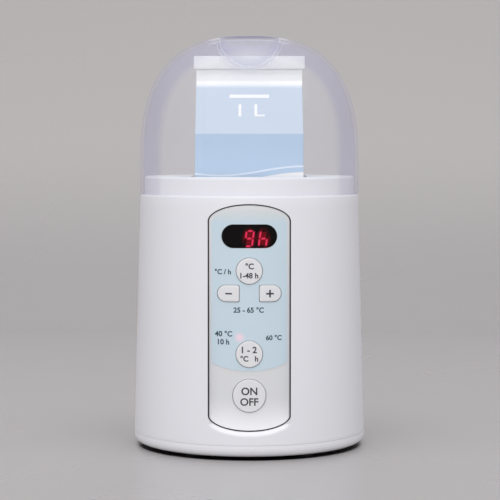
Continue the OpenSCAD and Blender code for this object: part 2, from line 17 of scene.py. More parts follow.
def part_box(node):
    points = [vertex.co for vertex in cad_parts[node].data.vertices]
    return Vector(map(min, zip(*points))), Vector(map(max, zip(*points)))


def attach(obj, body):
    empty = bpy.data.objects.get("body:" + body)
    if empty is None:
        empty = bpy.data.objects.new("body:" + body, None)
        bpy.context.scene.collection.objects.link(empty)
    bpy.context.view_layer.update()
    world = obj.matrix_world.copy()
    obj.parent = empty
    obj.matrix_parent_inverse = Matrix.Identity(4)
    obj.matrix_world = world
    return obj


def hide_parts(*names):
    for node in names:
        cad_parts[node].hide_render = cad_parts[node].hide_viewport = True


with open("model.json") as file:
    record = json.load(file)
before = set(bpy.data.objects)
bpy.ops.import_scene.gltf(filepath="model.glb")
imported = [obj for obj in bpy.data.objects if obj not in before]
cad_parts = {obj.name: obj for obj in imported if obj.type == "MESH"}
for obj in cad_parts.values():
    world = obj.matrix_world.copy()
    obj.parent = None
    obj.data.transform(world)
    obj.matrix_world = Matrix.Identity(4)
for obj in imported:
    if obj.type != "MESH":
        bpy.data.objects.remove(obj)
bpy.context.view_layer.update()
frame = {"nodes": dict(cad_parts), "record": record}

# %% [markdown]
# ## Camera
# A long lens stands a little above the middle of the object and looks slightly down, as for
# a catalogue picture. It comes first, so that every later piece can be judged in the frame.
# A line of sight through both scoops of the clear cover meets twelve surfaces, so light is
# let through more transparent surfaces than the usual eight.

# %% Camera
def new_object(name, data):
    """Put data into the scene as an object."""
    made = bpy.data.objects.new(name, data)
    bpy.context.scene.collection.objects.link(made)
    return made


camera_distance, camera_height, camera_tilt = 1.3551, 0.1978, 87.069
camera_data = bpy.data.cameras.new("camera")
camera_data.lens = 146.94
camera_data.sensor_width = 36
camera_data.shift_x = 0.0014
camera = new_object("camera", camera_data)
camera.location = (0, -camera_distance, camera_height)
camera.rotation_euler = (math.radians(camera_tilt), 0, 0)
bpy.context.scene.camera = camera
bpy.context.scene.view_settings.view_transform = "Standard"
bpy.context.scene.cycles.transparent_max_bounces = 24
print("camera at", tuple(camera.location))

# %% [markdown]
# ## Sizes
# The frame gives the outer sizes of the pieces. The few sizes that no box shows, such as wall
# thicknesses, are written here once, in millimetres turned into metres.

# %% Sizes of the body, the cover and the panel
mm = 0.001
foot_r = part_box("base_cover")[1].x
depth_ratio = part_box("base_cover")[1].y / foot_r
top_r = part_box("clear_cover")[1].x
shoulder_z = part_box("clear_cover")[0].z
crown_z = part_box("clear_cover")[1].z
seam_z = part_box("outer_casing")[0].z
deck_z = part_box("outer_casing")[1].z
wide_z = 8 * mm
wall = 2.5 * mm
neck_r = 69.4 * mm

panel_gap = 0.8 * mm
panel_half_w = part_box("control_panel")[1].x + panel_gap
panel_low, panel_high = 27.6 * mm, 150.2 * mm
panel_drop, panel_rise = 9.8 * mm, 11 * mm
panel_face = 79 * mm
panel_back = 76.5 * mm
pocket_floor = panel_back - 0.1 * mm
film_face = 79.25 * mm


def side_r(z):
    """Half width of the tapered body at a height."""
    return foot_r - (z - wide_z) * (foot_r - top_r) / (shoulder_z - wide_z)


def front_y(distance, x):
    """Y, at this x, of an upright oval surface that lies at a distance before the axis."""
    return -math.sqrt(max(distance ** 2 - (x * depth_ratio) ** 2, 0))


print("body", round(2 * foot_r / mm, 1), "mm wide, depth ratio", round(depth_ratio, 3))

# %% [markdown]
# ## Helpers for modelling
# Most pieces are made in one of two ways. A turned piece starts as a profile wire, whose
# corners are rounded by a vertex bevel, and is spun about the upright axis and made oval. A
# panel piece starts as a flat outline that faces the front, gets its thickness, is cut by a
# fine grid, and is then wrapped onto the oval front.

# %% Helpers: finished pieces
def mesh_object(name, bm):
    """Turn a bmesh into an object of the scene."""
    mesh = bpy.data.meshes.new(name)
    bm.to_mesh(mesh)
    bm.free()
    return new_object(name, mesh)


def finished(name, bm, body, slot, replaces=(), sharp=35, finish=None):
    """Turn a bmesh into a piece that rides on a body, smooth but for edges over an angle."""
    bmesh.ops.remove_doubles(bm, verts=bm.verts, dist=1e-6)
    for face in bm.faces:
        face.smooth = True
    for edge in bm.edges:
        edge.smooth = len(edge.link_faces) == 2 and edge.calc_face_angle() < math.radians(sharp)
    piece = mesh_object(name, bm)
    piece.data.materials.append(FINISHES[finish or slot])
    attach(piece, body)
    if replaces:
        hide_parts(*replaces)
    print(name, "has", len(piece.data.polygons), "faces")


print("helper for finished pieces ready")


# %% Helper: Booleans
def boolean(bm, tool, operation="DIFFERENCE"):
    """Cut a tool from a closed bmesh, or join it on, and give back the result."""
    objects = [mesh_object("boolean_part", part) for part in (bm, tool)]
    modifier = objects[0].modifiers.new("boolean", "BOOLEAN")
    modifier.object = objects[1]
    modifier.operation = operation
    modifier.solver = "MANIFOLD"
    evaluated = objects[0].evaluated_get(bpy.context.evaluated_depsgraph_get())
    result = bmesh.new()
    result.from_mesh(evaluated.to_mesh())
    evaluated.to_mesh_clear()
    for part in objects:
        bpy.data.meshes.remove(part.data)
    return result


print("helper for Booleans ready")


# %% Helpers: wires, bevels and what an extrusion made
CORNER_ANGLE = 1  # radians


def wire(bm, points, closed=False):
    """Join points by edges in their order, and give back their vertices."""
    verts = [bm.verts.new(point) for point in points]
    for first, second in zip(verts, verts[1:] + (verts[:1] if closed else [])):
        bm.edges.new((first, second))
    return verts


def new_verts(made):
    return [item for item in made["geom"] if isinstance(item, bmesh.types.BMVert)]


def bevelled(bm, items, rounding, segments=3, affect="EDGES", clamp=False):
    """Round edges, or vertices if affect says so."""
    bmesh.ops.bevel(bm, geom=items, offset=rounding, offset_type="OFFSET", segments=segments,
                    profile=0.5, affect=affect, material=-1, clamp_overlap=clamp)


print("helpers for wires and bevels ready")

# %% Helpers: turned pieces
SPIN_STEPS = 288


def round_corners(bm, corners, segments=5):
    """Bevel the vertices in a list of (vertex, rounding) pairs."""
    for vert, rounding in corners:
        if rounding:
            bevelled(bm, [vert], rounding, segments, "VERTICES")


def spun(bm):
    """Spin the wires of a bmesh about Z, make them oval and close them at the axis."""
    bmesh.ops.spin(bm, geom=bm.verts[:] + bm.edges[:], cent=(0, 0, 0), axis=(0, 0, 1),
                   angle=2 * math.pi, steps=SPIN_STEPS, use_merge=True)
    bmesh.ops.remove_doubles(bm, verts=bm.verts, dist=1e-6)
    bmesh.ops.scale(bm, vec=(1, depth_ratio, 1), verts=bm.verts)
    bmesh.ops.recalc_face_normals(bm, faces=bm.faces)
    return bm


def turned(corners):
    """A closed profile of (radius, height, rounding) corners, turned into an oval ring."""
    bm = bmesh.new()
    verts = wire(bm, [(r, 0, z) for r, z, _ in corners], closed=True)
    round_corners(bm, list(zip(verts, [corner[2] for corner in corners])))
    return spun(bm)


print("a full turn has", SPIN_STEPS, "steps")

# %% Helpers: flat outlines
FACING_FRONT = Matrix.Rotation(math.pi / 2, 4, "X")
ARC_STEPS = 96


def flat_outline(place, y):
    """A face towards the front, made from a unit circle whose points place() moves."""
    bm = bmesh.new()
    half_step = Matrix.Rotation(math.pi / ARC_STEPS, 4, "Z")
    circle = bmesh.ops.create_circle(bm, cap_ends=True, segments=ARC_STEPS, radius=1,
                                     matrix=FACING_FRONT @ half_step)
    for vert in circle["verts"]:
        x, z = place(vert.co.x, vert.co.z)
        vert.co = (x, y, z)
    return bm


def arch(grow, y):
    """The panel's outline, its sides moved out by grow."""
    half_w = panel_half_w + grow
    return flat_outline(lambda x, z: (half_w * x, panel_high + (panel_rise + grow) * z) if z > 0
                        else (half_w * x, panel_low + (panel_drop + grow) * z), y)


print("an outline has", ARC_STEPS, "points")

# %% Helpers: thickness and the panel's curve
STRIP = 2 * mm


def thicken(bm, depth):
    """Give a flat outline its thickness, towards the back."""
    made = bmesh.ops.extrude_face_region(bm, geom=bm.faces[:])
    bmesh.ops.translate(bm, vec=(0, depth, 0), verts=new_verts(made))
    bmesh.ops.recalc_face_normals(bm, faces=bm.faces)
    return bm


def wrapped(bm, strip=STRIP):
    """Cut a flat piece into a grid of strips and wrap it onto the panel's curve."""
    for axis in (Vector((1, 0, 0)), Vector((0, 0, 1))):
        places = [vert.co.dot(axis) for vert in bm.verts]
        for i in range(math.ceil(min(places) / strip), math.floor(max(places) / strip) + 1):
            bmesh.ops.bisect_plane(bm, geom=bm.verts[:] + bm.edges[:] + bm.faces[:],
                                   plane_co=axis * i * strip, plane_no=axis)
    for vert in bm.verts:
        vert.co.y = front_y(-vert.co.y, vert.co.x)
    return bm


print("helpers for panel pieces ready, a grid square measures", STRIP / mm, "mm")

# %% [markdown]
# ## Helpers for finishes
# Every finish is a small node tree on Object coordinates. Moulded plastic is never one flat
# colour: it has faint clouds of tone, a fine grain that breaks up the reflections and a
# gloss that changes a little from place to place. Each finish is kept under its name, which
# for most of them is also the name of a material slot in the record.

# %% Helpers: nodes
FINISHES = {}


def add(tree, kind, inputs=None, **options):
    """Add a shader node, set its options, then fill or link its inputs."""
    node = tree.nodes.new("ShaderNode" + kind)
    for key, value in options.items():
        setattr(node, key, value)
    for key, value in (inputs or {}).items():
        if isinstance(value, bpy.types.NodeSocket):
            tree.links.new(value, node.inputs[key])
        else:
            node.inputs[key].default_value = value
    return node


def new_finish(name):
    """Keep a new material, and give its empty tree, its output and its Object coordinates."""
    material = FINISHES[name] = bpy.data.materials.new(name)
    material.use_nodes = True
    tree = material.node_tree
    tree.nodes.clear()
    output = add(tree, "OutputMaterial").inputs[0]
    return tree, output, add(tree, "TexCoord").outputs["Object"]


def maths(tree, operation, *values):
    """Work out a number from others, each a socket or a number."""
    return add(tree, "Math", dict(enumerate(values)), operation=operation).outputs[0]


def vector_maths(tree, operation, *vectors):
    """The vector and the number that an operation on vectors gives."""
    return add(tree, "VectorMath", dict(enumerate(vectors)), operation=operation).outputs


def height_of(tree, place):
    return add(tree, "SeparateXYZ", {0: place}).outputs["Z"]


def reach_of(tree, place, scale):
    """How far a place is from the origin, once it is scaled."""
    scaled = vector_maths(tree, "MULTIPLY", place, scale)["Vector"]
    return vector_maths(tree, "LENGTH", scaled)["Value"]


print("helpers for nodes ready")


# %% Helpers: mixes, ramps and noise
def mixed(tree, factor, first, second):
    """Mix two colours, each a socket or a colour."""
    return add(tree, "Mix", {0: factor, 6: first, 7: second}, data_type="RGBA").outputs[2]


def ramp(tree, value, low, high, out_low=0.0, out_high=1.0):
    """A soft step of a value from low to high."""
    return add(tree, "MapRange", {"Value": value, "From Min": low, "From Max": high,
                                  "To Min": out_low, "To Max": out_high},
               interpolation_type="SMOOTHSTEP").outputs[0]


def noise(tree, place, size, detail=2.0, stretch=None):
    """Noise whose clouds are about one size across, drawn out if stretch is given."""
    if stretch:
        place = add(tree, "Mapping", {"Vector": place, "Scale": stretch}).outputs[0]
    return add(tree, "TexNoise", {"Vector": place, "Scale": 1 / size, "Detail": detail}).outputs[0]


def bumped(tree, height, depth):
    """A normal from a height between 0 and 1 that stands for a depth in metres."""
    return add(tree, "Bump", {"Height": height, "Strength": 1.0, "Distance": depth}).outputs[0]


def lighter(colour, factor):
    return (*[min(channel * factor, 1) for channel in colour[:3]], 1)


print("helpers for patterns ready")

# %% Helper: a plain finish
GLOSS_CHANGE = 0.04


def surface(name, colour, roughness, grain=0.25 * mm, depth=0.002 * mm, mottle=0.012,
            cloud=18 * mm, stretch=None, paint=None, **sockets):
    """A finish with clouds of tone, a grain, and a gloss that varies. paint may recolour it."""
    tree, output, place = new_finish(name)
    clouds = noise(tree, place, cloud, 3.0, stretch)
    tone = mixed(tree, clouds, lighter(colour, 1 - mottle), lighter(colour, 1 + mottle))
    if paint:
        tone = paint(tree, place, tone)
    gloss = ramp(tree, clouds, 0.2, 0.8, roughness - GLOSS_CHANGE, roughness + GLOSS_CHANGE)
    height = noise(tree, place, grain, 2.0, stretch)
    values = {"Base Color": tone, "Roughness": gloss, "Normal": bumped(tree, height, depth)}
    values.update({key.replace("_", " "): value for key, value in sockets.items()})
    tree.links.new(add(tree, "BsdfPrincipled", values).outputs[0], output)


print("a plain finish varies in gloss by", GLOSS_CHANGE)

# %% [markdown]
# ## Finishes of the hidden and half hidden pieces
# What the casing hides still gets its own finish, since the pieces come into view when the
# carton is lifted or the part is taken to pieces: foil, felt, steel, solder mask and so on.

# %% Finishes that carried-over pieces keep
surface("foot_rubber", (0.035, 0.035, 0.038), 0.75, depth=0.02 * mm, mottle=0.1)
surface("screw_steel", (0.60, 0.60, 0.62), 0.32, stretch=(1, 1, 8), Metallic=1.0)
surface("liner_white", (0.83, 0.83, 0.85), 0.38, depth=0.004 * mm)
surface("heater_foil", (0.76, 0.77, 0.78), 0.28, grain=3 * mm, depth=0.25 * mm,
        mottle=0.05, Metallic=1.0)
surface("felt", (0.78, 0.75, 0.66), 0.95, grain=0.6 * mm, depth=0.25 * mm, mottle=0.12,
        cloud=3 * mm)
surface("fuse_body", (0.80, 0.79, 0.74), 0.30)
surface("sensor_black", (0.05, 0.05, 0.055), 0.45)
surface("spring_steel", (0.62, 0.62, 0.64), 0.30, stretch=(1, 12, 1), Metallic=1.0)
surface("part_black", (0.03, 0.03, 0.033), 0.5, depth=0.006 * mm, mottle=0.08)
surface("core_grey", (0.16, 0.15, 0.14), 0.5, grain=0.5 * mm, depth=0.05 * mm,
        stretch=(1, 1, 12), Metallic=0.8)
surface("relay_blue", (0.03, 0.12, 0.32), 0.4)
surface("capacitor_yellow", (0.72, 0.52, 0.10), 0.4)
surface("cable_grey", (0.40, 0.40, 0.42), 0.6, grain=1.27 * mm, depth=0.15 * mm,
        stretch=(1, 0.05, 0.05))
surface("socket_ivory", (0.82, 0.78, 0.68), 0.45)
surface("gland_grey", (0.74, 0.74, 0.76), 0.42, depth=0.006 * mm)
surface("segment_dark", (0.035, 0.02, 0.022), 0.4)
print("plain finishes:", len(FINISHES))

# %% The boards and the indicators
track_pitch, track_edge = 3 * mm, (0.05, 0.09)


def tracks(tree, place, tone):
    """Copper tracks under the green solder mask, as a slightly lighter net of lines."""
    cells = add(tree, "TexVoronoi", {"Vector": place, "Scale": 1 / track_pitch},
                feature="DISTANCE_TO_EDGE", distance="CHEBYCHEV").outputs["Distance"]
    return mixed(tree, ramp(tree, cells, *track_edge), (0.05, 0.30, 0.12, 1), tone)


surface("board_green", (0.025, 0.17, 0.06), 0.35, paint=tracks)
surface("led_pink", (0.95, 0.62, 0.70), 0.35,
        Emission_Color=(1.0, 0.42, 0.55, 1), Emission_Strength=0.9)
surface("segment_lit", (0.30, 0.01, 0.03), 0.5,
        Emission_Color=(1.0, 0.06, 0.18, 1), Emission_Strength=4.4)
print("board, indicator and segment finishes added")

# %% [markdown]
# ## White plastics
# The casing is moulded in gloss white with a cool cast. The panel is the same plastic with a
# satin face, from the texture of its mould, and the buttons are between the two.

# %% White plastics
# Painted light and shade on the casing: a whiter foot, neck and deck, and a dark gap round the panel.
foot_painted_light = 3 * mm, 11 * mm
neck_painted_light = shoulder_z - 0.3 * mm, shoulder_z + 0.3 * mm
gap_shade_reach = panel_face - 1.2 * mm, panel_face - 0.4 * mm
gap_shade_side = -60 * mm, -55 * mm
gap_shade_top = shoulder_z - 4 * mm, shoulder_z - 3 * mm


def casing_painted_light(tree, place, tone):
    """Painted light: the neck, the deck and the foot are painted whiter than the wall, and the panel's
    gap is painted dark as painted shade.
    """
    split = add(tree, "SeparateXYZ", {0: place}).outputs
    # Painted light: the foot, and then the neck and the deck, are painted whiter than the wall.
    tone = mixed(tree, ramp(tree, split["Z"], *foot_painted_light, 1.0, 0.0), tone, (0.88, 0.875, 0.90, 1))
    tone = mixed(tree, ramp(tree, split["Z"], *neck_painted_light), tone, (0.89, 0.885, 0.91, 1))
    # Painted shade: the gap round the panel, a recess in the front wall, is painted nearly black.
    inside = ramp(tree, reach_of(tree, place, (depth_ratio, 1, 0)), *gap_shade_reach, 1.0, 0.0)
    in_front = ramp(tree, split["Y"], *gap_shade_side, 1.0, 0.0)
    below = ramp(tree, split["Z"], *gap_shade_top, 1.0, 0.0)
    gap = maths(tree, "MULTIPLY", maths(tree, "MULTIPLY", inside, in_front), below)
    return mixed(tree, gap, tone, (0.04, 0.035, 0.04, 1))


surface("casing_white", (0.80, 0.795, 0.83), 0.34, grain=0.5 * mm, depth=0.0015 * mm,
        mottle=0.006, cloud=30 * mm, paint=casing_painted_light)

# Painted light: the panel is painted lighter towards its lower end.
painted_lip_glow = 20 * mm, 42 * mm


def panel_painted_lip_light(tree, place, tone):
    """Painted light: the panel's lower end is painted lighter, for the light it picks up from the bright
    lip under it.
    """
    glow = ramp(tree, height_of(tree, place), *painted_lip_glow, 1.0, 0.0)
    return mixed(tree, glow, tone, (0.90, 0.90, 0.92, 1))


surface("panel_white", (0.71, 0.715, 0.725), 0.42, depth=0.003 * mm, mottle=0.006,
        paint=panel_painted_lip_light)
surface("button_white", (0.76, 0.755, 0.77), 0.38, depth=0.003 * mm, mottle=0.008)
surface("clip_white", (0.89, 0.89, 0.895), 0.45, depth=0.003 * mm)
print("white plastics added")

# %% [markdown]
# ## Casing
# The casing is one moulding: an oval tapered wall, a shoulder for the clear cover, a neck and
# a deck. It is spun from a profile whose corners are rounded first. The pocket of the control
# panel is cut afterwards. Below the panel the wall dips softly towards it, like a scoop of a
# spoon. A Boolean would leave a hard line there, so the dip is made by moving vertices, after
# that part of the wall has been divided more finely.

# %% Casing: the turned shell
ROW = 2 * mm
deck_t = 2.6 * mm
deck_hole_r = 36 * mm
casing = turned([
    (side_r(seam_z), seam_z, 0.35 * mm), (top_r, shoulder_z, 1.2 * mm), (neck_r, shoulder_z, 0.3 * mm),
    (neck_r, deck_z, 1.6 * mm), (deck_hole_r, deck_z, 0), (deck_hole_r, deck_z - deck_t, 0),
    (neck_r - wall, deck_z - deck_t, 0), (neck_r - wall, shoulder_z - wall, 0),
    (top_r - wall, shoulder_z - wall, 0), (side_r(seam_z) - wall, seam_z, 0),
])
for row in range(math.ceil(seam_z / ROW) + 1, math.floor(shoulder_z / ROW) - 2):
    bmesh.ops.bisect_plane(casing, geom=casing.verts[:] + casing.edges[:] + casing.faces[:],
                           plane_co=(0, 0, row * ROW), plane_no=(0, 0, 1))
print("casing shell:", len(casing.faces), "faces")

# %% Casing: the dip under the panel
DIP_TOP = 52 * mm
DIP_HALF_W = 34 * mm
lip_w = 2.4 * mm
dip_share = 0.6
dip_turn, dip_turn_w = 0.66, 0.32
dip_clear, dip_fade_h = 0.4 * mm, 4 * mm


def oval_radius(point):
    return math.hypot(point.x, point.y / depth_ratio)


def on_outer_wall(point):
    return abs(oval_radius(point) - side_r(point.z)) < 0.1 * mm


def dip_y(x, z, skin_y):
    """Y of the wall at x and z, where skin_y is its Y without the dip round the lower arch."""
    if z >= panel_low:
        return skin_y
    across, down = x / panel_half_w, (panel_low - z) / panel_drop
    spread = math.hypot(across, down)
    slope_x, slope_z = across / panel_half_w / spread, down / panel_drop / spread
    steepness = math.hypot(slope_x, slope_z)
    left = min(max(1 - (spread - 1) / steepness / lip_w, 0), 1)
    facing_down = min(max((slope_z / steepness - dip_turn) / dip_turn_w, 0), 1)
    fade = facing_down ** 2 * (3 - 2 * facing_down)
    return skin_y + dip_share * fade * left ** 2 * (front_y(panel_face, x) - skin_y)


dip_faces = [face for face in casing.faces
             if face.calc_center_median().y < 0 and abs(face.calc_center_median().x) < DIP_HALF_W
             and face.calc_center_median().z < DIP_TOP and all(on_outer_wall(v.co) for v in face.verts)]
dip_edges = list({edge for face in dip_faces for edge in face.edges})
bmesh.ops.subdivide_edges(casing, edges=dip_edges, cuts=2, use_grid_fill=True)
for vert in casing.verts:
    x, y, z = vert.co
    if y > 0 or z > DIP_TOP or z < seam_z + dip_clear or abs(x) > DIP_HALF_W:
        continue
    radius = oval_radius(vert.co)
    outside = radius > side_r(z) - wall / 2
    if outside:
        vert.co *= Vector((side_r(z) / radius, side_r(z) / radius, 1))
    depth = 0 if outside else wall
    edge_fade = min(1, (z - seam_z) / dip_fade_h)
    vert.co.y += edge_fade * (dip_y(x, z, vert.co.y - depth) + depth - vert.co.y)
print("the dip moves", len(dip_faces), "faces")

# %% Casing: the pocket of the panel
POCKET_FRONT = 95 * mm
ledge_w = 3.2 * mm
ledge_t = 2 * mm
pocket_wall = 2.5 * mm
pocket_inset = 1.2 * mm
slab_t = 1 * mm


def pushed(bm, faces):
    """Extrude faces, remove the ones they came from and give back the new vertices."""
    made = bmesh.ops.extrude_face_region(bm, geom=faces)
    bmesh.ops.delete(bm, geom=[face for face in faces if face.is_valid], context="FACES")
    return new_verts(made)


def pocket_block():
    """The walls and floor of the pocket, inside the shell."""
    bm = wrapped(thicken(arch(pocket_wall, -pocket_floor), ledge_t))
    for vert in pushed(bm, [face for face in bm.faces if face.normal.y < -0.5]):
        x, z = vert.co.x, vert.co.z
        vert.co.y = dip_y(x, z, front_y(side_r(z) * depth_ratio, x)) + pocket_inset
    return bm


def pocket_cutter(grow, back):
    """What is taken out in front of an oval floor at the distance back."""
    bm = wrapped(thicken(arch(grow, -back - slab_t), slab_t))
    for vert in bm.verts:
        if vert.co.y < front_y(back + slab_t / 2, vert.co.x):
            vert.co.y = -POCKET_FRONT
    return bm


print("the pocket's ledge is", round(ledge_w / mm, 1), "mm wide")


# %% Casing: pocket, deck opening and cord entry cut
def level_rod(at, diameter, low, high):
    """A cylinder along Y, from low to high, round a place given as x and height."""
    bm = bmesh.new()
    matrix = Matrix.Translation((at[0], (low + high) / 2, at[1])) @ Matrix.Rotation(-math.pi / 2, 4, "X")
    bmesh.ops.create_cone(bm, cap_ends=True, segments=64, radius1=diameter / 2,
                          radius2=diameter / 2, depth=high - low, matrix=matrix)
    return bm


def square_block(width, corner, low, high):
    """An upright square block with round corners."""
    bm = bmesh.new()
    bmesh.ops.create_cube(bm, size=1, matrix=Matrix.Translation((0, 0, (low + high) / 2))
                          @ Matrix.Diagonal((width, width, high - low, 1)))
    upright = [edge for edge in bm.edges if abs(edge.verts[0].co.z - edge.verts[1].co.z) > 1e-6]
    bevelled(bm, upright, corner, 10)
    return bm


liner_w, liner_r = 79 * mm, 9.85 * mm
flange_w, flange_r, flange_t = 88.4 * mm, 13.5 * mm, 1.5 * mm
liner_gap = 0.35 * mm
deck_low, deck_high = deck_z - 5 * mm, deck_z + 5 * mm
cord_at = (0, 23.5 * mm)
boss_d, boss_front, boss_back = 19 * mm, 76.9 * mm, 82 * mm
gland_d, gland_front, gland_seat_d, gland_seat_y = 10.4 * mm, 70 * mm, 14.4 * mm, 80.9 * mm
gland_clear = 90 * mm
casing = boolean(casing, pocket_block(), "UNION")
casing = boolean(casing, level_rod(cord_at, boss_d, boss_front, boss_back), "UNION")
for cutter in (pocket_cutter(0, pocket_floor),
               pocket_cutter(-ledge_w, pocket_floor - ledge_t - slab_t),
               square_block(liner_w + 2 * liner_gap, liner_r, deck_low, deck_high),
               square_block(flange_w + 2 * liner_gap, flange_r + liner_gap, deck_z - flange_t, deck_high),
               level_rod(cord_at, gland_d, gland_front, gland_clear),
               level_rod(cord_at, gland_seat_d, gland_seat_y, gland_clear)):
    casing = boolean(casing, cutter)
finished("casing_shell", casing, "housing", "casing_white", ["outer_casing"])

# %% [markdown]
# ## Control panel
# The panel is a thin arched plate in the pocket, with holes for the buttons and the window.
# It is cut flat, where Booleans are simple, and only then wrapped onto the oval front.

# %% Panel: outlines of the buttons and the window
NEARLY_HALF = 0.499


def pill(at, width, height, y):
    """A level outline with two round ends, or a disc if width and height are equal."""
    straight = (width - height) / 2
    return flat_outline(lambda x, z: (at[0] + math.copysign(straight, x) + height / 2 * x,
                                      at[1] + height / 2 * z), y)


def step_outline(at, width, height, y, corner=1.1 * mm):
    """The outline of the minus or plus button: round outside, square with soft corners inside."""
    out = math.copysign(1, at[0])
    bm = bmesh.new()
    verts = [bm.verts.new((at[0] + out * x * width / 2, y, at[1] + z * height / 2))
             for x, z in ((1, -1), (1, 1), (-1, 1), (-1, -1))]
    bm.faces.new(verts)
    roundings = [NEARLY_HALF * height] * 2 + [corner] * 2
    round_corners(bm, list(zip(verts, roundings)), segments=12)
    return bm


print("outlines for the window and the buttons ready")


# %% Panel plate and its holes
def soften_front(bm, rounding, segments=3):
    """Bevel the edges round the front face of a flat piece."""
    front = min(vert.co.y for vert in bm.verts)
    rim = [edge for edge in bm.edges if all(v.co.y < front + 1e-7 for v in edge.verts)
           and edge.calc_face_angle(0) > CORNER_ANGLE]
    bevelled(bm, rim, rounding, segments)
    return bm


button_gap = 0.3 * mm
window_w, window_h, window_z, window_play = 34.7 * mm, 14.7 * mm, 141 * mm, 0.3 * mm
plate_edge_r = 0.45 * mm
ROUND_BUTTONS = {"mode_button": ((0, 119.2 * mm), 16.4 * mm), "menu_button": ((0, 66.9 * mm), 16.7 * mm),
                 "start_button": ((0, 40.7 * mm), 20.8 * mm)}
STEP_BUTTONS = {"minus_button": (-13.2 * mm, 105.1 * mm), "plus_button": (13.2 * mm, 105.1 * mm)}
step_w, step_h = 13.6 * mm, 10.3 * mm
CUT_FRONT, CUT_BACK = 84 * mm, 20 * mm


def with_holes(bm):
    """Cut the holes for the window and the five buttons through a flat piece."""
    cutters = [pill(at, d + 2 * button_gap, d + 2 * button_gap, -CUT_FRONT)
               for at, d in ROUND_BUTTONS.values()]
    cutters += [step_outline(at, step_w + 2 * button_gap, step_h + 2 * button_gap, -CUT_FRONT)
                for at in STEP_BUTTONS.values()]
    cutters.append(pill((0, window_z), window_w + window_play, window_h + window_play, -CUT_FRONT))
    for cutter in cutters:
        bm = boolean(bm, thicken(cutter, CUT_BACK))
    bmesh.ops.dissolve_limit(bm, angle_limit=math.radians(0.5), verts=bm.verts, edges=bm.edges)
    return bm


plate = soften_front(thicken(arch(-panel_gap, -panel_face), panel_face - panel_back), plate_edge_r)
finished("panel_plate", wrapped(with_holes(plate)), "housing", "panel_white", ["control_panel"])

# %% [markdown]
# ## Printed film
# A thin light blue film is stuck on the upper panel. Its lower edge is a wide arc, and its
# print fades to the panel's grey at the top. One indicator shines through it as a soft pink
# spot, which is painted into the film, because the film spreads the light.

# %% Film: finish
led_at = (-6.1 * mm, -78.9 * mm, 77.5 * mm)
led_spot = 0.4 * mm, 4.2 * mm
print_fade = 148.4 * mm, 156.4 * mm


def film_print(tree, place, tone):
    """Blue that fades to grey at the top, with the indicator's pink spot."""
    tone = mixed(tree, ramp(tree, height_of(tree, place), *print_fade), tone, (0.66, 0.70, 0.72, 1))
    distance = vector_maths(tree, "DISTANCE", place, led_at)["Value"]
    return mixed(tree, ramp(tree, distance, *led_spot, 1.0, 0.0), tone, (0.90, 0.70, 0.80, 1))


surface("film_blue", (0.585, 0.70, 0.77), 0.36, depth=0.003 * mm, paint=film_print)

# %% Film: the sheet
film_half_w, film_low, film_edge_r, film_rise = 23.7 * mm, 56.2 * mm, 58.7 * mm, 7.2 * mm
film_t = 0.25 * mm


def film_point(x, z):
    """Place a circle's point on the film's outline: an arch above, a wide arc below."""
    x *= film_half_w
    if z > 0:
        return x, panel_high + film_rise * z
    return x, film_low + film_edge_r - math.sqrt(film_edge_r ** 2 - x ** 2)


film = with_holes(thicken(flat_outline(film_point, -film_face), film_t))
finished("film_sheet", wrapped(film), "housing", "film_blue", ["panel_film"])

# %% [markdown]
# ## Display
# The window is a smoked gloss lens. It has to hide the module behind it and still let the lit
# segments shine through, so its finish is a mix of a black gloss surface and a dark tint that
# light passes. The red haze round the digits is a painted glow, an emission on the face of the module.

# %% Display: finishes
lens_clear = 0.66


def smoked_finish():
    """Black gloss that lets a share of the light through, tinted."""
    tree, output, _ = new_finish("window_black")
    black = add(tree, "BsdfPrincipled", {"Base Color": (0.002, 0.002, 0.003, 1), "Roughness": 0.09})
    clear = add(tree, "BsdfTransparent", {"Color": (0.62, 0.50, 0.52, 1)})
    both = add(tree, "MixShader", {0: lens_clear, 1: black.outputs[0], 2: clear.outputs[0]})
    tree.links.new(both.outputs[0], output)


digit_pitch, digit_z = 8.8 * mm, 139.4 * mm
module_face = 74.4 * mm
glow_half_w, glow_half_h, glow_core = 5.2 * mm, 7.6 * mm, 0.35


def module_finish():
    """Black, with a painted red glow round the two digits that are lit."""
    tree, output, place = new_finish("module_black")
    spots = []
    for x in (0, digit_pitch):
        away = vector_maths(tree, "SUBTRACT", place, (x, -module_face, digit_z))["Vector"]
        reach = reach_of(tree, away, (1 / glow_half_w, 0, 1 / glow_half_h))
        spots.append(ramp(tree, reach, glow_core, 1.0, 1.0, 0.0))
    glow = maths(tree, "MAXIMUM", *spots)
    colour = mixed(tree, glow, (0, 0, 0, 1), (0.9, 0.003, 0.035, 1))
    shader = add(tree, "BsdfPrincipled", {"Base Color": (0.01, 0.01, 0.011, 1), "Roughness": 0.5,
                                          "Emission Color": colour, "Emission Strength": 1.0})
    tree.links.new(shader.outputs[0], output)


smoked_finish()
module_finish()
print("the lens and the module have their finishes")

# %% Display: the window
window_t, window_edge_r = 2.05 * mm, 0.3 * mm
window = thicken(pill((0, window_z), window_w, window_h, -film_face), window_t)
window = soften_front(window, window_edge_r)
finished("window_lens", wrapped(window), "housing", "window_black", ["display_window"])

# %% [markdown]
# ## Buttons
# Each cap stands a little proud of the film, with a fine dark gap round it. The top edge is
# rounded, so that it catches a thin line of light. The skirt behind it has plain edges. Cap,
# skirt and stem are closed solids that are joined, so that each button is one clean mesh.

# %% Buttons
button_face = 79.9 * mm
cap_t, cap_edge_r = 3.6 * mm, 0.55 * mm
skirt_front = 76.2 * mm
skirt_t = 1.2 * mm
skirt_grow = 2.4 * mm
stem_d, stem_back, stem_overlap = 5 * mm, 71.7 * mm, 0.6 * mm


def button_cap(outline, skirt):
    """A cap with a rounded top edge, on a wider skirt, wrapped to the panel's curve."""
    cap = wrapped(soften_front(thicken(outline, cap_t), cap_edge_r, 4))
    return boolean(cap, wrapped(thicken(skirt, skirt_t)), "UNION")


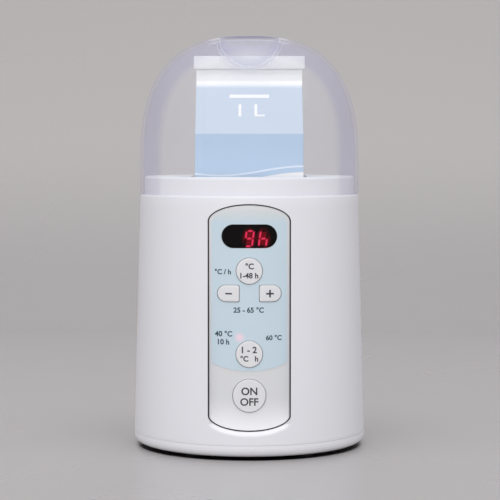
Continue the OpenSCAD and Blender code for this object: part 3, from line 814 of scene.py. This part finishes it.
def button(name, at, outline, width, height):
    """One button: its cap on its skirt, and the stem that presses the switch."""
    cap = button_cap(outline(at, width, height, -button_face),
                     outline(at, width + skirt_grow, height + skirt_grow, -skirt_front))
    stem_front = front_y(skirt_front - skirt_t, abs(at[0])) - stem_overlap
    cap = boolean(cap, level_rod(at, stem_d, stem_front, -stem_back), "UNION")
    finished(name.replace("button", "cap"), cap, name, "button_white", [name])


for name, (at, diameter) in ROUND_BUTTONS.items():
    button(name, at, pill, diameter, diameter)
for name, at in STEP_BUTTONS.items():
    button(name, at, step_outline, step_w, step_h)

# %% [markdown]
# ## Legends
# The printing is kept to signs that any such panel could carry: units, plain numbers, minus,
# plus, ON and OFF. Each legend is a text turned into a mesh, a hair proud of the surface. It
# stays sharp at any distance, and needs no image as a texture would.

# %% Legends: words as meshes
surface("ink_dark", (0.045, 0.045, 0.05), 0.5, mottle=0.05)
surface("ink_blue", (0.03, 0.06, 0.08), 0.5, mottle=0.05)
INK_PROUD = 0.03 * mm
INK_GRID = 1 * mm
button_weight, panel_weight = 0.14 * mm, 0.13 * mm


def text_mesh(words, size, bolder):
    """A bmesh of flat words, centred on the origin, facing +Z."""
    curve = bpy.data.curves.new("words", "FONT")
    curve.body = words
    curve.size = size
    curve.offset = bolder
    curve.align_x = "CENTER"
    curve.align_y = "CENTER"
    curve.resolution_u = 4
    text = new_object("words", curve)
    bm = bmesh.new()
    bm.from_mesh(text.evaluated_get(bpy.context.evaluated_depsgraph_get()).to_mesh())
    bpy.data.objects.remove(text)
    bpy.data.curves.remove(curve)
    return bm


def legend(name, words, at, size, bolder, distance, ink, body="housing"):
    """Print words on the panel's curve at a place given as x and height."""
    bm = text_mesh(words, size, bolder)
    xs = [vert.co.x for vert in bm.verts]
    zs = [vert.co.y for vert in bm.verts]
    middle = Vector(((min(xs) + max(xs)) / 2, (min(zs) + max(zs)) / 2, 0))
    bmesh.ops.translate(bm, vec=-middle, verts=bm.verts)
    move = Matrix.Translation((at[0], -distance - INK_PROUD, at[1]))
    bmesh.ops.transform(bm, verts=bm.verts, matrix=move @ FACING_FRONT)
    bmesh.ops.triangulate(bm, faces=bm.faces)
    finished(name, wrapped(bm, INK_GRID), body, "part_black", finish=ink)


print("ink stands", round(INK_PROUD / mm, 2), "mm proud")

# %% Legends of the buttons and the panel
BUTTON_LEGENDS = [
    ("legend_degrees", "°C", (0.2 * mm, 122.3 * mm), 5.0 * mm, "mode_button"),
    ("legend_hours", "1-48 h", (0, 116.4 * mm), 4.7 * mm, "mode_button"),
    ("legend_minus", "−", (-13.0 * mm, 105.0 * mm), 8.2 * mm, "minus_button"),
    ("legend_plus", "+", (13.0 * mm, 105.0 * mm), 9.4 * mm, "plus_button"),
    ("legend_menu", "1 - 2", (0, 69.7 * mm), 5.6 * mm, "menu_button"),
    ("legend_menu_units", "°C   h", (0, 64.2 * mm), 4.7 * mm, "menu_button"),
    ("legend_on", "ON", (0, 43.6 * mm), 6.6 * mm, "start_button"),
    ("legend_off", "OFF", (0, 36.9 * mm), 6.6 * mm, "start_button"),
]
PANEL_LEGENDS = [
    ("legend_units", "°C / h", (-16.6 * mm, 118.8 * mm), 4.3 * mm),
    ("legend_range", "25 - 65 °C", (-0.4 * mm, 94.8 * mm), 4.5 * mm),
    ("legend_first_heat", "40 °C", (-16.2 * mm, 79.8 * mm), 4.6 * mm),
    ("legend_first_time", "10 h", (-16.2 * mm, 74.6 * mm), 4.6 * mm),
    ("legend_second_heat", "60 °C", (15.4 * mm, 77.3 * mm), 4.2 * mm),
]
for name, words, at, size, body in BUTTON_LEGENDS:
    legend(name, words, at, size, button_weight, button_face, "ink_dark", body)
for name, words, at, size in PANEL_LEGENDS:
    legend(name, words, at, size, panel_weight, film_face, "ink_blue")

# %% [markdown]
# ## Clear cover
# The cover is one thin clear moulding: a dome with a finger scoop in front of and behind a
# bar, by which it is lifted. The outer skin and the hollow are made as two closed solids,
# each with its own scoops, and the hollow is taken from the skin, which leaves an even wall.

# %% Cover: dome
DOME_STEPS = 60
dome_power = 2.65
spring_z = 185 * mm
cover_t = 2.2 * mm


def dome(half_w, top, low):
    """A closed oval dome. Its outline is a quarter circle pushed out towards a square."""
    bm = bmesh.new()
    circle = bmesh.ops.create_circle(bm, segments=4 * DOME_STEPS, radius=1, matrix=FACING_FRONT)
    outside = [v for v in circle["verts"] if v.co.x < -1e-4 or v.co.z < -1e-4]
    bmesh.ops.delete(bm, geom=outside, context="VERTS")
    for vert in bm.verts:
        x, z = max(vert.co.x, 0), max(vert.co.z, 0)
        vert.co = (half_w * x ** (2 / dome_power), 0, spring_z + (top - spring_z) * z ** (2 / dome_power))
    side = min(bm.verts, key=lambda v: v.co.z)
    rim, middle = bm.verts.new((half_w, 0, low)), bm.verts.new((0, 0, low))
    bm.edges.new((side, rim))
    bm.edges.new((rim, middle))
    return spun(bm)


skin = dome(top_r, crown_z, shoulder_z)
hollow = dome(top_r - cover_t, crown_z - cover_t, shoulder_z - 1 * mm)
print("dome and hollow:", len(skin.faces), "and", len(hollow.faces), "faces")

# %% Cover: scoops
SCOOP_STEPS = 30
scoop_r, scoop_reach, pinch_t = 20.2 * mm, 30 * mm, 14.4 * mm


def scoop(side, grow):
    """Half of an ellipsoid beside the bar, its wall moved out by grow."""
    radius, reach = scoop_r + grow, scoop_reach + grow
    start = -math.asin(grow / reach)
    angles = [start + (math.pi / 2 - start) * step / SCOOP_STEPS for step in range(SCOOP_STEPS + 1)]
    bm = bmesh.new()
    wire(bm, [(0, -grow, 0)] + [(radius * math.cos(a), reach * math.sin(a), 0) for a in angles])
    bmesh.ops.spin(bm, geom=bm.verts[:] + bm.edges[:], cent=(0, 0, 0), axis=(0, 1, 0),
                   angle=2 * math.pi, steps=4 * SCOOP_STEPS, use_merge=True)
    bmesh.ops.remove_doubles(bm, verts=bm.verts, dist=1e-6)
    bmesh.ops.scale(bm, vec=(1, side, 1), verts=bm.verts)
    bmesh.ops.translate(bm, vec=(0, side * pinch_t / 2, crown_z), verts=bm.verts)
    bmesh.ops.recalc_face_normals(bm, faces=bm.faces)
    return bm


for side in (-1, 1):
    skin = boolean(skin, scoop(side, 0))
    hollow = boolean(hollow, scoop(side, cover_t))
cover = boolean(skin, hollow)
print("cover:", len(cover.faces), "faces")

# %% [markdown]
# Clear styrene is nearly colourless where it is seen square on. Towards the edge of the dome
# light runs a long way inside the wall, and the faint violet of the plastic adds up to a
# broad band. The finish passes light through a tint that deepens with the facing angle, and
# adds a violet haze, which scatters light both back and through, and a gloss that also grows
# with that angle. Round the scoops the wall is thickest: its tint is deeper there, darkest at
# the crest. The bowl's edges carry a painted highlight: there the haze is thicker and paler.
# The gloss is worked out from the facing angle, because a Fresnel node turns the inner faces
# into full mirrors.

# %% Cover: finish
band_facing, rim_facing, lip_highlight_facing = (0.43, 0.54), (0.88, 0.98), (0.78, 0.94)
thick_reach = 22 * mm, 32 * mm
crest_height = crown_z - 1.8 * mm, crown_z - 0.4 * mm
thick_share, band_haze, most_lip_highlight, lip_highlight_white = 0.022, 0.045, 0.72, 2.5
scratch_size, scratch_haze = 12 * mm, (0.060, 0.074)
through_share, shine_rise, shine_least = 0.4, 0.24, 0.026


def cover_finish():
    """Clear plastic: a tint that light passes, a haze that scatters it, and a gloss on top."""
    tree, output, place = new_finish("cover_clear")
    facing = add(tree, "LayerWeight", {"Blend": 0.5}).outputs["Facing"]
    band = ramp(tree, facing, *band_facing)
    from_crown = vector_maths(tree, "DISTANCE", place, (0, 0, crown_z))["Value"]
    near = ramp(tree, from_crown, *thick_reach, 1.0, 0.0)
    crest = maths(tree, "MULTIPLY", near, ramp(tree, height_of(tree, place), *crest_height))
    below = maths(tree, "SUBTRACT", near, crest)
    # Painted highlight: at the bowl's edges the haze grows thicker.
    lip = maths(tree, "MULTIPLY", below, ramp(tree, facing, *lip_highlight_facing, 0.0, most_lip_highlight))

    tint = mixed(tree, band, (1, 1, 1, 1), (0.972, 0.971, 0.980, 1))
    tint = mixed(tree, ramp(tree, facing, *rim_facing), tint, (0.84, 0.83, 0.93, 1))
    tint = mixed(tree, maths(tree, "MULTIPLY", near, thick_share), tint, (0, 0.25, 0.6, 1))
    tint = mixed(tree, crest, tint, (0.74, 0.73, 0.88, 1))
    clear = add(tree, "BsdfTransparent", {"Color": tint})

    scratches = ramp(tree, noise(tree, place, scratch_size, 4.0), 0.2, 0.8, *scratch_haze)
    amount = maths(tree, "ADD", maths(tree, "MULTIPLY_ADD", band, band_haze, scratches), lip)
    tone = mixed(tree, band, (0.92, 0.915, 0.99, 1), (0.74, 0.72, 0.92, 1))
    # The painted highlight also turns the haze white at the bowl's edges.
    tone = mixed(tree, maths(tree, "MULTIPLY", lip, lip_highlight_white), tone, (0.97, 0.97, 1, 1))
    back = add(tree, "BsdfDiffuse", {"Color": tone})
    through = add(tree, "BsdfTranslucent", {"Color": tone})
    haze = add(tree, "MixShader", {0: through_share, 1: back.outputs[0], 2: through.outputs[0]})
    hazy = add(tree, "MixShader", {0: amount, 1: clear.outputs[0], 2: haze.outputs[0]})

    gloss = add(tree, "BsdfGlossy", {"Color": (1, 1, 1, 1), "Roughness": 0.05})
    shine = maths(tree, "MULTIPLY_ADD", maths(tree, "POWER", facing, 5.0), shine_rise, shine_least)
    both = add(tree, "MixShader", {0: shine, 1: hazy.outputs[0], 2: gloss.outputs[0]})
    tree.links.new(both.outputs[0], output)


cover_finish()
finished("cover_dome", cover, "cover", "cover_clear", ["clear_cover"], sharp=40)

# %% [markdown]
# ## Carton
# The drink carton is folded board. The imported solid has the right folds, so a copy of its
# mesh is cleaned, and its folds are rounded a little, as board never folds to a knife edge.
# The printed sheet overlaps itself down the left of the front, which shows as a fine step.
# The print's bands follow the height and a cosine wave, so that it needs no image either. Where the roof
# meets the fin, a painted highlight of pure white lies over the print.

# %% Carton: print
carton_low, carton_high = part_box("milk_carton")
carton_half = carton_high.x
shoulder_fold_z, ridge_z = 205.3 * mm, 240.3 * mm
shoulder_print = shoulder_fold_z - 0.15 * mm, shoulder_fold_z + 0.15 * mm
wave_number, wave_rise = 58.0, 3.0 * mm
wave_edge, stripe_z, stripe_half_t = (177.2 * mm, 177.9 * mm), 181.4 * mm, 0.55 * mm
low_band, roof_painted_glare, fin_painted_glare = (40 * mm, 40.4 * mm), (235 * mm, 239.4 * mm), (243 * mm, 246 * mm)


def carton_print(tree, place, tone):
    """White fin, pale blue roof, mid blue band, and a white body under a wavy edge, with a painted
    highlight where the roof meets the fin.
    """
    height = height_of(tree, place)
    pale, mid, white = (0.53, 0.62, 0.725, 1), (0.435, 0.585, 0.765, 1), (0.95, 0.95, 0.95, 1)
    speckle = noise(tree, place, 1.3 * mm, 3.0)
    mid = mixed(tree, speckle, lighter(mid, 0.97), lighter(mid, 1.03))
    along = vector_maths(tree, "DOT_PRODUCT", place, (1, 1, 0))["Value"]
    wave = maths(tree, "COSINE", maths(tree, "MULTIPLY", along, wave_number))
    rest = maths(tree, "SUBTRACT", height, maths(tree, "MULTIPLY", wave, wave_rise))
    body = mixed(tree, ramp(tree, rest, *wave_edge), white, mid)
    stripe = maths(tree, "COMPARE", rest, stripe_z, stripe_half_t)
    body = mixed(tree, stripe, body, (0.74, 0.82, 0.93, 1))
    body = mixed(tree, ramp(tree, height, *low_band), mid, body)
    # Painted highlight: the fin's lower part and the top of the roof are pure white, whiter than the
    # board.
    fin = mixed(tree, ramp(tree, height, *fin_painted_glare), (1, 1, 1, 1), white)
    roof = mixed(tree, ramp(tree, height, *roof_painted_glare), pale, fin)
    return mixed(tree, ramp(tree, height, *shoulder_print), body, roof)


surface("carton_board", (0.8, 0.8, 0.8), 0.40, grain=0.4 * mm, depth=0.006 * mm, paint=carton_print)
print("the wavy edge rises", round(wave_rise / mm, 1), "mm either way")

# %% Carton: folded board
fold_r = 0.55 * mm
carton = bmesh.new()
carton.from_mesh(frame["nodes"]["milk_carton"].data)
bmesh.ops.remove_doubles(carton, verts=carton.verts, dist=1e-5)
bmesh.ops.dissolve_limit(carton, angle_limit=math.radians(1), verts=carton.verts, edges=carton.edges)
folds = [edge for edge in carton.edges if edge.calc_face_angle(0) > math.radians(20)]
bevelled(carton, folds, fold_r, clamp=True)
finished("carton_body", carton, "carton", "carton_board", ["milk_carton"], sharp=50)


# %% Carton: the overlapping sheet on the front
def drawn_out(bm, width, facing):
    """Extrude the wires of a bmesh along X into a sheet that looks towards facing."""
    made = bmesh.ops.extrude_edge_only(bm, edges=bm.edges[:])
    bmesh.ops.translate(bm, vec=(width, 0, 0), verts=new_verts(made))
    bmesh.ops.recalc_face_normals(bm, faces=bm.faces)
    if sum(face.normal.dot(Vector(facing)) for face in bm.faces) < 0:
        bmesh.ops.reverse_faces(bm, faces=bm.faces)


overlap_x, overlap_low, overlap_t = -29 * mm, carton_low.z + 1 * mm, 0.3 * mm
overlap_w = carton_half - 0.4 * mm - overlap_x
overlap_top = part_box("carton_clip")[0].z - 0.2 * mm
fin_half_t = 1 * mm
overlap = bmesh.new()
wire(overlap, [(overlap_x, -carton_half, overlap_low), (overlap_x, -carton_half, shoulder_fold_z),
               (overlap_x, -fin_half_t, ridge_z), (overlap_x, -fin_half_t, overlap_top)])
drawn_out(overlap, overlap_w, (0, -1, 0))
bmesh.ops.solidify(overlap, geom=overlap.faces[:], thickness=-overlap_t)
bmesh.ops.recalc_face_normals(overlap, faces=overlap.faces)
finished("carton_overlap", overlap, "carton", "carton_board", sharp=30)

# %% Carton: white signs on the roof
surface("board_white", (0.90, 0.905, 0.92), 0.40)
roof_rise = ridge_z - shoulder_fold_z
roof_run = carton_half - fin_half_t
roof_angle = math.atan2(roof_rise, roof_run)
sign_proud = 0.4 * mm
litre_size, litre_weight, litre_share = 16 * mm, 0.12 * mm, 0.42
rule_w, rule_h, rule_share = 26 * mm, 3.2 * mm, 0.70


def on_roof(share):
    """A matrix that lays a flat sign on the front roof, at a share of the way up."""
    place = Vector((0, roof_run * share - carton_half, shoulder_fold_z + roof_rise * share))
    out = Vector((0, -math.sin(roof_angle), math.cos(roof_angle)))
    return Matrix.Translation(place + out * sign_proud) @ Matrix.Rotation(roof_angle, 4, "X")


litre = text_mesh("1 L", litre_size, litre_weight)
bmesh.ops.transform(litre, verts=litre.verts, matrix=on_roof(litre_share))
finished("carton_litre_sign", litre, "carton", "carton_board", finish="board_white")
rule = bmesh.new()
bmesh.ops.create_grid(rule, x_segments=2, y_segments=2, size=0.5,
                      matrix=on_roof(rule_share) @ Matrix.Diagonal((rule_w, rule_h, 1, 1)))
finished("carton_rule", rule, "carton", "carton_board", finish="board_white")

# %% [markdown]
# ## Clip
# The clip is a straight white bar with a slot along its underside, which presses the fin
# shut. Its outer edges are rounded. The slot is an inset face that is pushed up, which keeps
# the bar one clean box, where a Boolean would need a second one.

# %% Clip
clip_low, clip_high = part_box("carton_clip")
clip_middle = (clip_low + clip_high) / 2
clip_size = clip_high - clip_low
slot_half_t, slot_end, slot_top = 1.25 * mm, 1.2 * mm, 255.6 * mm
clip_edge_r = 0.6 * mm
clip = bmesh.new()
bmesh.ops.create_cube(clip, size=1, matrix=Matrix.Translation(clip_middle)
                      @ Matrix.Diagonal((*clip_size, 1)))
under = min(clip.faces, key=lambda face: face.calc_center_median().z)
bmesh.ops.inset_region(clip, faces=[under], thickness=slot_end, use_even_offset=True)
bmesh.ops.scale(clip, vec=(1, slot_half_t / (clip_size.y / 2 - slot_end), 1), verts=under.verts,
                space=Matrix.Translation(-clip_middle))
bmesh.ops.translate(clip, vec=(0, 0, slot_top - clip_low.z), verts=pushed(clip, [under]))
outer = [edge for edge in clip.edges if edge.is_convex and edge.calc_face_angle(0) > CORNER_ANGLE
         and max(abs(v.co.y) for v in edge.verts) > slot_half_t * 1.5]
bevelled(clip, outer, clip_edge_r)
bmesh.ops.recalc_face_normals(clip, faces=clip.faces)
finished("clip_bar", clip, "clip", "clip_white", ["carton_clip"])

# %% [markdown]
# ## Carried-over pieces
# Every node that still shows takes the finish of its material slot from the record. Its mesh
# is already right and is left alone.

# %% Finish the carried-over pieces
SLOT_OF = {part["node"]: part["material_slot"] for part in frame["record"]["subparts"]}
for name, node in frame["nodes"].items():
    for material_slot in node.material_slots:
        material_slot.material = FINISHES[SLOT_OF[name]]
print("finished nodes:", len(frame["nodes"]))

# %% [markdown]
# ## Stage and light
# A pale grey sweep runs from the floor up the backdrop without a corner. It is clear from
# behind, so that the part can be looked at from any side. Large soft lamps all round and
# above give even light, and the sides fall off a little darker, which shows that the body is
# round. The level is such that a colour renders about as it is written.

# %% Stage
paler_from, paler_to = 0, 0.22
foot_shade = foot_r - 3.5 * mm, foot_r - 1.5 * mm
stage_w, stage_front, stage_back, stage_top, stage_bend = 5, -3.0, 1.7, 2.6, 0.9


def stage_tones_and_painted_shadow(tree, place, tone):
    """The sweep is paler higher up, where less light falls, and has a painted shadow in the gap under the
    foot.
    """
    paler = ramp(tree, height_of(tree, place), paler_from, paler_to)
    tone = mixed(tree, paler, tone, (0.52, 0.497, 0.488, 1))
    reach = reach_of(tree, place, (1, 1 / depth_ratio, 1))
    # Painted shadow: the floor under the foot is painted nearly black.
    return mixed(tree, ramp(tree, reach, *foot_shade, 1.0, 0.0), tone, (0.012, 0.011, 0.012, 1))


surface("stage_grey", (0.40, 0.386, 0.386), 0.26, depth=0.01 * mm, mottle=0.01, cloud=0.4,
        paint=stage_tones_and_painted_shadow)
tree = FINISHES["stage_grey"].node_tree
output = tree.nodes["Material Output"]
behind = add(tree, "NewGeometry").outputs["Backfacing"]
one_sided = add(tree, "MixShader", {0: behind, 1: output.inputs[0].links[0].from_socket,
                                    2: add(tree, "BsdfTransparent").outputs[0]})
tree.links.new(one_sided.outputs[0], output.inputs[0])
sweep = bmesh.new()
sweep_verts = wire(sweep, [(-stage_w / 2, stage_front, 0), (-stage_w / 2, stage_back, 0),
                           (-stage_w / 2, stage_back, stage_top)])
round_corners(sweep, [(sweep_verts[1], stage_bend)], segments=24)
drawn_out(sweep, stage_w, (0, 0, 1))
for face in sweep.faces:
    face.smooth = True
stage = mesh_object("stage_sweep", sweep)
stage.data.materials.append(FINISHES["stage_grey"])
print("the sweep has", len(stage.data.polygons), "faces")


# %% Lamps
def softbox(name, place, target, width, height, power, spread=180):
    """A rectangular lamp, unseen itself, that looks at a target and lights a spread in degrees."""
    data = bpy.data.lights.new(name, "AREA")
    data.shape = "RECTANGLE"
    data.size, data.size_y = width, height
    data.energy = power
    data.spread = math.radians(spread)
    lamp = new_object(name, data)
    lamp.location = place
    lamp.rotation_euler = (Vector(target) - Vector(place)).to_track_quat("-Z", "Y").to_euler()
    lamp.visible_glossy = False
    lamp.visible_camera = False
    print(name, "gives", power, "W")


softbox("top_softbox", (0, -0.5, 1.9), (0, 0, 0.1), 1.6, 1.2, 18)
softbox("front_softbox", (-0.25, -2.6, 0.95), (0, 0, 0.15), 3.6, 1.4, 11.7, 110)
softbox("left_softbox", (-2.0, -0.9, 0.8), (0, 0, 0.12), 1.2, 1.2, 1.8, 110)
softbox("right_softbox", (2.0, -0.9, 0.8), (0, 0, 0.12), 1.2, 1.2, 1.6, 110)
softbox("rear_softbox", (0, 1.4, 1.3), (0, 0, 0.2), 1.6, 0.8, 3, 110)

# %% World: even light, and the backdrop's tone where a ray or a reflection passes the sweep
world = bpy.data.worlds.new("studio")
world.use_nodes = True
tree = world.node_tree
tree.nodes.clear()
rays = add(tree, "LightPath")
seen = maths(tree, "MAXIMUM", rays.outputs["Is Camera Ray"], rays.outputs["Is Glossy Ray"])
seen = maths(tree, "MAXIMUM", seen, rays.outputs["Is Transmission Ray"])
light = mixed(tree, seen, (0.56, 0.565, 0.59, 1), (0.46, 0.455, 0.45, 1))
background = add(tree, "Background", {"Color": light, "Strength": 1.0})
tree.links.new(background.outputs[0], add(tree, "OutputWorld").inputs[0])
bpy.context.scene.world = world
print("world set")
